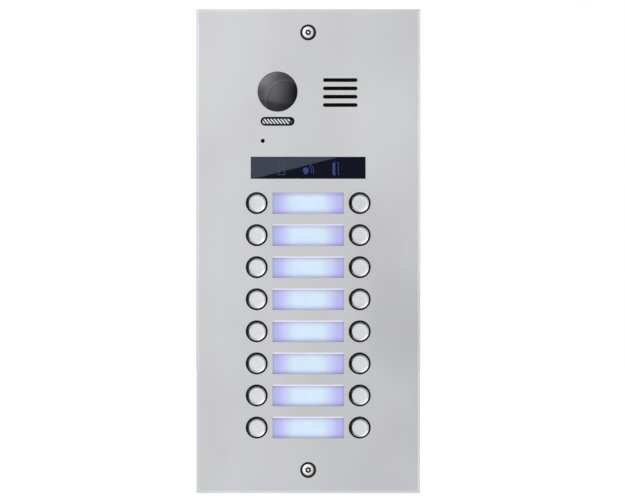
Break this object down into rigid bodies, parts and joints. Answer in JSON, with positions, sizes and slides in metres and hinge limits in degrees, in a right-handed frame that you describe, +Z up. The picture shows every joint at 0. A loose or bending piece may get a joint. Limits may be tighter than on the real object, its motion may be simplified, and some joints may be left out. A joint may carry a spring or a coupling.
{
  "type": "door intercom panel",
  "caption": "Flush stainless door intercom panel with camera dome, lamp, speaker slots, status window, lit name windows and call buttons.",
  "frame": {"origin": "middle of the wall opening, in the plane where the rear face of the gasket meets the wall", "axes": "the front faces -Y, +X is to the right seen from the front, +Z is up; the housing goes into the wall along +Y"},
  "size_m": [0.148, 0.043, 0.32],
  "materials": {
    "front_plate": "satin brushed",
    "button_cap_metal": "fine satin, polished edge",
    "fixing_screw_metal": "polished stainless",
    "gasket_foam": "black rubber and closed-cell foam",
    "stud_metal": "copper-flashed and brass",
    "nut_metal": "zinc plated",
    "cover_plastic": "fine moulded texture",
    "black_moulding": "matt black",
    "camera_housing": "matt black",
    "camera_window_glass": "smoked, glossy",
    "lens_glass": "coated",
    "lamp_light_guide": "frosted clear",
    "light_guide": "frosted",
    "label_window": "lit, satin",
    "label_card": "blank translucent card",
    "status_window": "dark glossy",
    "led": "moulded",
    "speaker_mesh": "black woven mesh",
    "speaker_metal": "pressed steel",
    "speaker_cone": "paper",
    "magnet": "ferrite",
    "circuit_board": "solder mask",
    "white_circuit_board": "white solder mask",
    "nylon": "moulded",
    "spring_steel": "drawn wire",
    "chassis_plastic": "moulded",
    "terminal_plastic": "moulded",
    "code_switch_plastic": "moulded",
    "trimmer_plastic": "moulded"
  },
  "bodies": {
    "panel": {"front_plate": "front_plate", "perimeter_gasket": "gasket_foam", "weld_studs": "stud_metal", "cover_nuts": "nut_metal", "rear_cover": "cover_plastic", "fixing_screws": "fixing_screw_metal", "screw_retainers": "gasket_foam", "camera_window": "camera_window_glass", "camera_mount_frame": "black_moulding", "lamp_mask": "black_moulding", "lamp_light_guide": "lamp_light_guide", "lamp_board": "white_circuit_board", "speaker_mesh": "speaker_mesh", "speaker_gasket": "gasket_foam", "speaker_frame": "speaker_metal", "speaker_cone": "speaker_cone", "speaker_magnet": "magnet", "microphone_boot": "gasket_foam", "microphone_capsule": "nut_metal", "status_window": "status_window", "status_icon_guides": "light_guide", "label_windows": "label_window", "label_cards": "label_card", "label_diffusers": "light_guide", "led_chips": "led", "button_bezels": "black_moulding", "button_springs": "spring_steel", "button_switches": "black_moulding", "chassis": "chassis_plastic", "button_board": "circuit_board", "main_board": "circuit_board", "board_spacers": "stud_metal", "board_screws": "nut_metal", "terminal_block": "terminal_plastic", "terminal_screws": "nut_metal", "code_switch_body": "code_switch_plastic", "volume_trimmer_body": "trimmer_plastic"},
    "button_left_1": {"button_cap_left_1": "button_cap_metal"},
    "button_left_2": {"button_cap_left_2": "button_cap_metal"},
    "button_left_3": {"button_cap_left_3": "button_cap_metal"},
    "button_left_4": {"button_cap_left_4": "button_cap_metal"},
    "button_left_5": {"button_cap_left_5": "button_cap_metal"},
    "button_left_6": {"button_cap_left_6": "button_cap_metal"},
    "button_left_7": {"button_cap_left_7": "button_cap_metal"},
    "button_left_8": {"button_cap_left_8": "button_cap_metal"},
    "button_right_1": {"button_cap_right_1": "button_cap_metal"},
    "button_right_2": {"button_cap_right_2": "button_cap_metal"},
    "button_right_3": {"button_cap_right_3": "button_cap_metal"},
    "button_right_4": {"button_cap_right_4": "button_cap_metal"},
    "button_right_5": {"button_cap_right_5": "button_cap_metal"},
    "button_right_6": {"button_cap_right_6": "button_cap_metal"},
    "button_right_7": {"button_cap_right_7": "button_cap_metal"},
    "button_right_8": {"button_cap_right_8": "button_cap_metal"},
    "camera_gimbal": {"camera_yoke": "black_moulding"},
    "camera_head": {"camera_housing": "camera_housing", "camera_lens": "lens_glass", "camera_board": "circuit_board"},
    "code_switch_1": {"code_slider_1": "nylon"},
    "code_switch_2": {"code_slider_2": "nylon"},
    "volume_knob": {"volume_trimmer_rotor": "nylon"}
  },
  "joints": [
    {"name": "press_left_1", "type": "slide", "parent": "panel", "child": "button_left_1", "axis": [0, 1, 0], "range_m": [0, 0.0008], "stiffness_N_per_m": 600, "springref_m": -0.002, "deforming": ["button_springs"]},
    {"name": "press_left_2", "type": "slide", "parent": "panel", "child": "button_left_2", "axis": [0, 1, 0], "range_m": [0, 0.0008], "stiffness_N_per_m": 600, "springref_m": -0.002, "deforming": ["button_springs"]},
    {"name": "press_left_3", "type": "slide", "parent": "panel", "child": "button_left_3", "axis": [0, 1, 0], "range_m": [0, 0.0008], "stiffness_N_per_m": 600, "springref_m": -0.002, "deforming": ["button_springs"]},
    {"name": "press_left_4", "type": "slide", "parent": "panel", "child": "button_left_4", "axis": [0, 1, 0], "range_m": [0, 0.0008], "stiffness_N_per_m": 600, "springref_m": -0.002, "deforming": ["button_springs"]},
    {"name": "press_left_5", "type": "slide", "parent": "panel", "child": "button_left_5", "axis": [0, 1, 0], "range_m": [0, 0.0008], "stiffness_N_per_m": 600, "springref_m": -0.002, "deforming": ["button_springs"]},
    {"name": "press_left_6", "type": "slide", "parent": "panel", "child": "button_left_6", "axis": [0, 1, 0], "range_m": [0, 0.0008], "stiffness_N_per_m": 600, "springref_m": -0.002, "deforming": ["button_springs"]},
    {"name": "press_left_7", "type": "slide", "parent": "panel", "child": "button_left_7", "axis": [0, 1, 0], "range_m": [0, 0.0008], "stiffness_N_per_m": 600, "springref_m": -0.002, "deforming": ["button_springs"]},
    {"name": "press_left_8", "type": "slide", "parent": "panel", "child": "button_left_8", "axis": [0, 1, 0], "range_m": [0, 0.0008], "stiffness_N_per_m": 600, "springref_m": -0.002, "deforming": ["button_springs"]},
    {"name": "press_right_1", "type": "slide", "parent": "panel", "child": "button_right_1", "axis": [0, 1, 0], "range_m": [0, 0.0008], "stiffness_N_per_m": 600, "springref_m": -0.002, "deforming": ["button_springs"]},
    {"name": "press_right_2", "type": "slide", "parent": "panel", "child": "button_right_2", "axis": [0, 1, 0], "range_m": [0, 0.0008], "stiffness_N_per_m": 600, "springref_m": -0.002, "deforming": ["button_springs"]},
    {"name": "press_right_3", "type": "slide", "parent": "panel", "child": "button_right_3", "axis": [0, 1, 0], "range_m": [0, 0.0008], "stiffness_N_per_m": 600, "springref_m": -0.002, "deforming": ["button_springs"]},
    {"name": "press_right_4", "type": "slide", "parent": "panel", "child": "button_right_4", "axis": [0, 1, 0], "range_m": [0, 0.0008], "stiffness_N_per_m": 600, "springref_m": -0.002, "deforming": ["button_springs"]},
    {"name": "press_right_5", "type": "slide", "parent": "panel", "child": "button_right_5", "axis": [0, 1, 0], "range_m": [0, 0.0008], "stiffness_N_per_m": 600, "springref_m": -0.002, "deforming": ["button_springs"]},
    {"name": "press_right_6", "type": "slide", "parent": "panel", "child": "button_right_6", "axis": [0, 1, 0], "range_m": [0, 0.0008], "stiffness_N_per_m": 600, "springref_m": -0.002, "deforming": ["button_springs"]},
    {"name": "press_right_7", "type": "slide", "parent": "panel", "child": "button_right_7", "axis": [0, 1, 0], "range_m": [0, 0.0008], "stiffness_N_per_m": 600, "springref_m": -0.002, "deforming": ["button_springs"]},
    {"name": "press_right_8", "type": "slide", "parent": "panel", "child": "button_right_8", "axis": [0, 1, 0], "range_m": [0, 0.0008], "stiffness_N_per_m": 600, "springref_m": -0.002, "deforming": ["button_springs"]},
    {"name": "camera_pan", "type": "hinge", "parent": "panel", "child": "camera_gimbal", "pos_m": [-0.0202, 0.007, 0.1054], "axis": [0, 0, 1], "range_deg": [-10, 10]},
    {"name": "camera_tilt", "type": "hinge", "parent": "camera_gimbal", "child": "camera_head", "pos_m": [-0.0202, 0.007, 0.1054], "axis": [1, 0, 0], "range_deg": [-10, 10]},
    {"name": "code_slide_1", "type": "slide", "parent": "panel", "child": "code_switch_1", "axis": [0, 0, 1], "range_m": [0, 0.002]},
    {"name": "code_slide_2", "type": "slide", "parent": "panel", "child": "code_switch_2", "axis": [0, 0, 1], "range_m": [0, 0.002]},
    {"name": "volume_turn", "type": "hinge", "parent": "panel", "child": "volume_knob", "pos_m": [0.034, 0.026, -0.096], "axis": [0, 1, 0], "range_deg": [-135, 135]}
  ]
}
